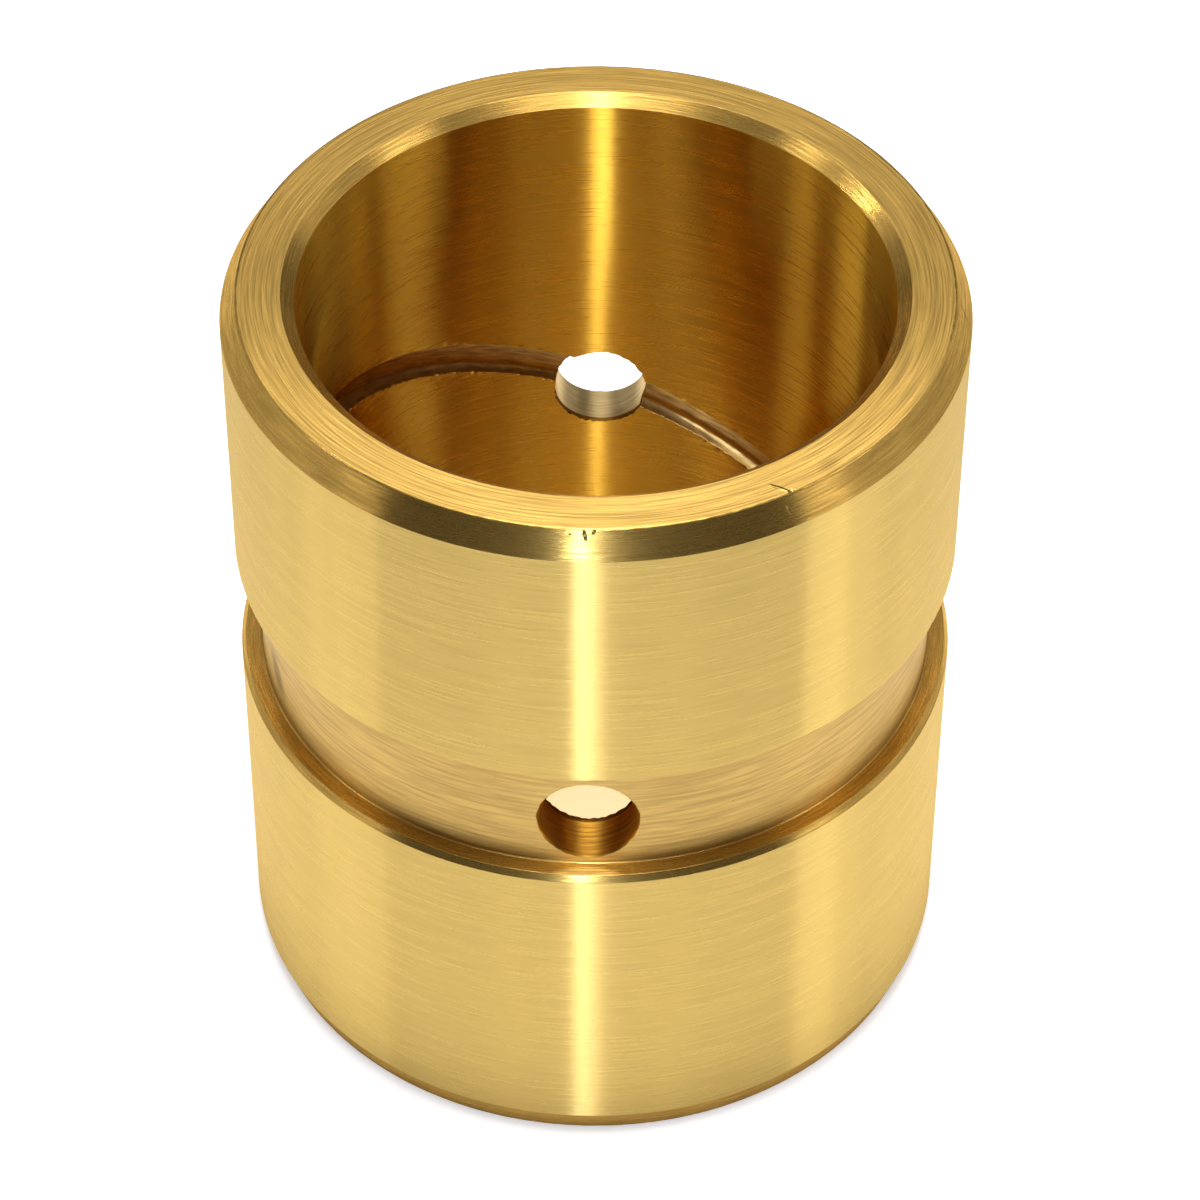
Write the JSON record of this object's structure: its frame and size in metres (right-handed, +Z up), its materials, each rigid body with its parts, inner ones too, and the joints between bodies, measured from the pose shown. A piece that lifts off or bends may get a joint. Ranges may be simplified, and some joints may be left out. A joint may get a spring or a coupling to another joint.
{
  "type": "boom bushing",
  "caption": "Turned bronze sleeve bushing with an outer grease channel, cross grease holes, an inclined grease groove in the bore and chamfered ends.",
  "frame": {"origin": "centre of the lower end face, on the bore axis", "axes": "+Z up along the bore axis, -Y through the grease hole that faces the viewer, the bore's grease groove highest at -X"},
  "size_m": [0.075, 0.075, 0.086],
  "materials": {
    "turned_bronze": "fine turned, satin, with turning lines round the axis"
  },
  "bodies": {
    "root": {"boom_bushing": "turned_bronze"}
  },
  "joints": []
}
